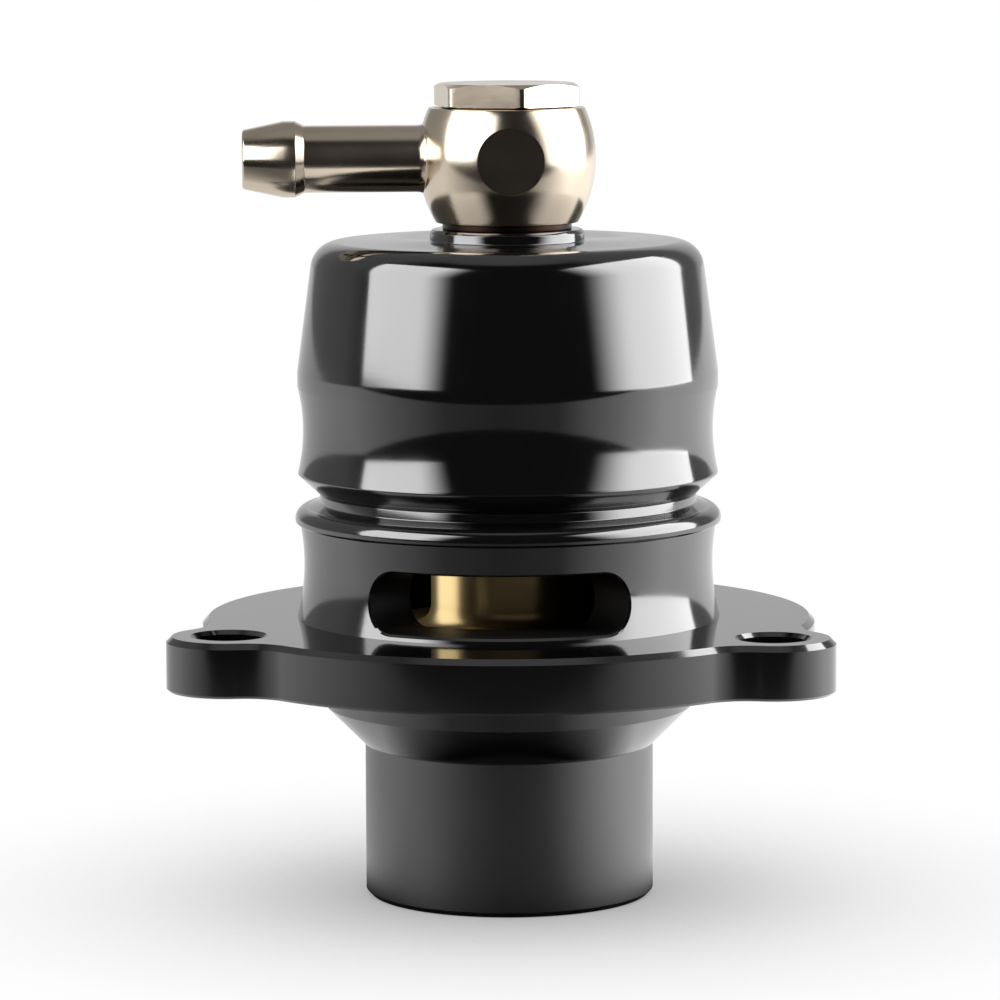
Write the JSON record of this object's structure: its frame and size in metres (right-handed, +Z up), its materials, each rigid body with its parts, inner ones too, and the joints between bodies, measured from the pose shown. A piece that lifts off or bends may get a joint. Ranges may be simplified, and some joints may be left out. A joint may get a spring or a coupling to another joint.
{
  "type": "blow off valve",
  "caption": "Black anodised blow off valve: eared mounting flange, hose spigot below, vented body with a sprung brass piston, screwed cap and a swivelling banjo hose union on top.",
  "frame": {"origin": "centre of the flange's mounting face, on the valve's axis", "axes": "+Z up the valve's axis from the flange to the banjo union; the front vent faces -Y and the hose barb points to -X"},
  "size_m": [0.064, 0.066, 0.0796],
  "materials": {
    "black_anodised": "gloss black anodised over turned aluminium",
    "plain_aluminium": "as turned",
    "turned_brass": "turned and polished",
    "bronze": "sintered bronze",
    "nickel_plate": "bright nickel plate",
    "spring_steel": "oiled spring steel",
    "zinc_steel": "zinc plated",
    "washer_copper": "annealed copper",
    "seal_rubber": "moulded nitrile",
    "wear_plastic": "filled wear plastic"
  },
  "bodies": {
    "housing": {"base_housing": "black_anodised", "top_cap": "black_anodised", "cap_o_ring": "seal_rubber", "piston_guide": "plain_aluminium", "guide_bush": "bronze", "guide_retaining_ring": "spring_steel", "main_spring": "spring_steel", "spring_shim": "zinc_steel", "banjo_bolt": "nickel_plate", "upper_sealing_washer": "washer_copper", "lower_sealing_washer": "washer_copper"},
    "piston": {"valve_piston": "turned_brass", "seat_seal": "seal_rubber", "actuator_piston": "plain_aluminium", "actuator_o_ring": "seal_rubber", "wear_ring": "wear_plastic", "piston_screw": "spring_steel", "piston_washer": "zinc_steel"},
    "banjo": {"banjo_fitting": "nickel_plate"}
  },
  "joints": [
    {"name": "piston_lift", "type": "slide", "parent": "housing", "child": "piston", "axis": [0, 0, 1], "range_m": [0, 0.006], "stiffness_N_per_m": 3000, "springref_m": -0.005, "deforming": ["main_spring"]},
    {"name": "banjo_swivel", "type": "hinge", "parent": "housing", "child": "banjo", "pos_m": [0, 0, 0.05], "axis": [0, 0, 1], "continuous": true}
  ]
}
